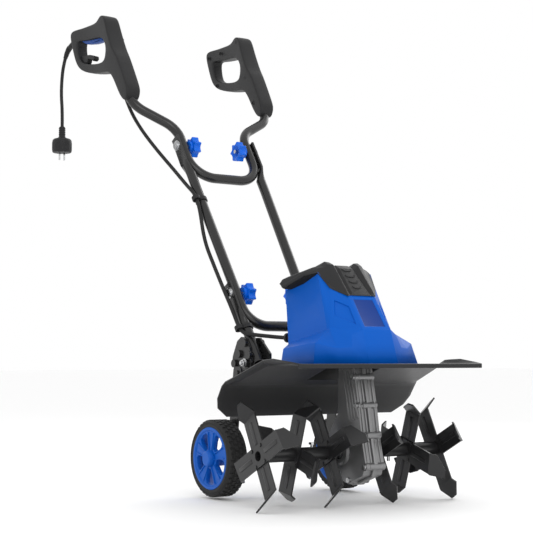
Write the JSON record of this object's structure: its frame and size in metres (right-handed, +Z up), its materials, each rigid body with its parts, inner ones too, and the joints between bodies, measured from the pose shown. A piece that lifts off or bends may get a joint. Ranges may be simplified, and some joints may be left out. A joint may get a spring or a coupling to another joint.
{
  "type": "electric tiller",
  "caption": "Corded electric garden tiller with star tines on a worm gearbox, a moulded shield, transport wheels and a folding tube handle with two D-grips.",
  "frame": {"origin": "centre of the footprint on the ground, under the middle of the machine", "axes": "+Z up, -Y the way the machine works forward, +X to the right seen from the front"},
  "size_m": [0.446, 0.972, 0.9914],
  "materials": {
    "blue_plastic": "moulded, satin gloss",
    "black_plastic": "fine texture",
    "black_enamel": "semi-gloss enamel",
    "rubber": "smooth",
    "tyre_rubber": "dull",
    "wheel_plastic": "moulded",
    "tine_paint": "grey enamel",
    "cast_case": "painted casting",
    "steel": "machined",
    "zinc": "bright zinc plate",
    "bronze": "cut"
  },
  "bodies": {
    "chassis": {"gearbox_left": "cast_case", "gearbox_right": "cast_case", "case_screws": "zinc", "tine_bearings": "zinc", "shaft_seals": "rubber", "shaft_bearings": "zinc", "motor_stator": "steel", "motor_frame": "steel", "shield": "black_plastic", "chassis_frame": "black_enamel", "deck_bolts": "zinc", "handle_brackets": "black_enamel", "bracket_bolts": "zinc", "motor_housing": "blue_plastic", "top_cover": "black_plastic", "cable_gland": "rubber", "stub_tubes": "black_enamel", "lower_fold_bolts": "zinc", "cable_clip_lower": "black_plastic", "motor_lead_lower": "rubber"},
    "tine_rotor": {"tine_shaft": "steel", "tine_sleeves": "tine_paint", "tine_pins": "zinc", "worm_wheel": "bronze", "tine_star_1": "tine_paint", "tine_star_2": "tine_paint", "tine_star_3": "tine_paint", "tine_star_4": "tine_paint", "tine_star_5": "tine_paint", "tine_star_6": "tine_paint"},
    "motor_rotor": {"armature": "steel", "cooling_fan": "black_plastic"},
    "wheel_carriage": {"wheel_frame": "black_enamel", "wheel_axle": "steel", "axle_caps": "black_plastic"},
    "left_wheel": {"wheel_rim_left": "wheel_plastic", "tyre_left": "tyre_rubber"},
    "right_wheel": {"wheel_rim_right": "wheel_plastic", "tyre_right": "tyre_rubber"},
    "middle_frame": {"middle_frame_tube": "black_enamel", "upper_fold_bolts": "zinc", "cable_clip_upper": "black_plastic"},
    "upper_handle": {"upper_handle_tube": "black_enamel", "switch_handle_outer": "black_plastic", "switch_handle_inner": "black_plastic", "plain_handle_outer": "black_plastic", "plain_handle_inner": "black_plastic", "handle_screws": "zinc", "lever_pin": "steel", "power_switch": "black_plastic", "strain_relief": "rubber", "mains_cord": "rubber", "mains_plug": "rubber", "motor_lead_upper": "rubber"},
    "lever": {"switch_lever": "blue_plastic"},
    "button": {"lock_button": "black_plastic"},
    "lower_left_knob": {"lower_knob_left": "blue_plastic"},
    "lower_right_knob": {"lower_knob_right": "blue_plastic"},
    "upper_left_knob": {"upper_knob_left": "blue_plastic"},
    "upper_right_knob": {"upper_knob_right": "blue_plastic"}
  },
  "joints": [
    {"name": "tine_spin", "type": "hinge", "parent": "chassis", "child": "tine_rotor", "pos_m": [0, -0.3165, 0.0934], "axis": [1, 0, 0], "continuous": true},
    {"name": "motor_spin", "type": "hinge", "parent": "chassis", "child": "motor_rotor", "pos_m": [0, -0.3348, 0.21898], "axis": [0, 0.1857, 0.9826], "continuous": true},
    {"name": "wheel_swing", "type": "hinge", "parent": "chassis", "child": "wheel_carriage", "pos_m": [0, -0.1215, 0.2334], "axis": [1, 0, 0], "range_deg": [0, 70]},
    {"name": "left_wheel_spin", "type": "hinge", "parent": "wheel_carriage", "child": "left_wheel", "pos_m": [-0.144, -0.1005, 0.0754], "axis": [1, 0, 0], "continuous": true},
    {"name": "right_wheel_spin", "type": "hinge", "parent": "wheel_carriage", "child": "right_wheel", "pos_m": [0.144, -0.1005, 0.0754], "axis": [1, 0, 0], "continuous": true},
    {"name": "lower_fold", "type": "hinge", "parent": "chassis", "child": "middle_frame", "pos_m": [0, -0.0615, 0.3859], "axis": [1, 0, 0], "range_deg": [0, 45], "deforming": ["motor_lead_lower"]},
    {"name": "upper_fold", "type": "hinge", "parent": "middle_frame", "child": "upper_handle", "pos_m": [0, 0.1391, 0.6988], "axis": [1, 0, 0], "range_deg": [0, 145], "deforming": ["motor_lead_upper"]},
    {"name": "lever_squeeze", "type": "hinge", "parent": "upper_handle", "child": "lever", "pos_m": [-0.1762, 0.40492, 0.9644], "axis": [-0.9992, -0.04, 0], "range_deg": [0, 7], "stiffness_Nm_per_rad": 0.5, "springref_deg": -17.19},
    {"name": "button_press", "type": "slide", "parent": "upper_handle", "child": "button", "axis": [-0.9992, -0.04, 0], "range_m": [0, 0.0035], "stiffness_N_per_m": 300, "springref_m": -0.003},
    {"name": "lower_left_knob_turn", "type": "hinge", "parent": "chassis", "child": "lower_left_knob", "pos_m": [-0.058, -0.0615, 0.3859], "axis": [1, 0, 0], "range_deg": [0, 360]},
    {"name": "lower_right_knob_turn", "type": "hinge", "parent": "chassis", "child": "lower_right_knob", "pos_m": [0.058, -0.0615, 0.3859], "axis": [1, 0, 0], "range_deg": [0, 360]},
    {"name": "upper_left_knob_turn", "type": "hinge", "parent": "middle_frame", "child": "upper_left_knob", "pos_m": [-0.058, 0.1391, 0.6988], "axis": [1, 0, 0], "range_deg": [0, 360]},
    {"name": "upper_right_knob_turn", "type": "hinge", "parent": "middle_frame", "child": "upper_right_knob", "pos_m": [0.058, 0.1391, 0.6988], "axis": [1, 0, 0], "range_deg": [0, 360]}
  ],
  "couplings": [
    {"joint": "motor_spin", "follows": "tine_spin", "ratio": 30}
  ]
}
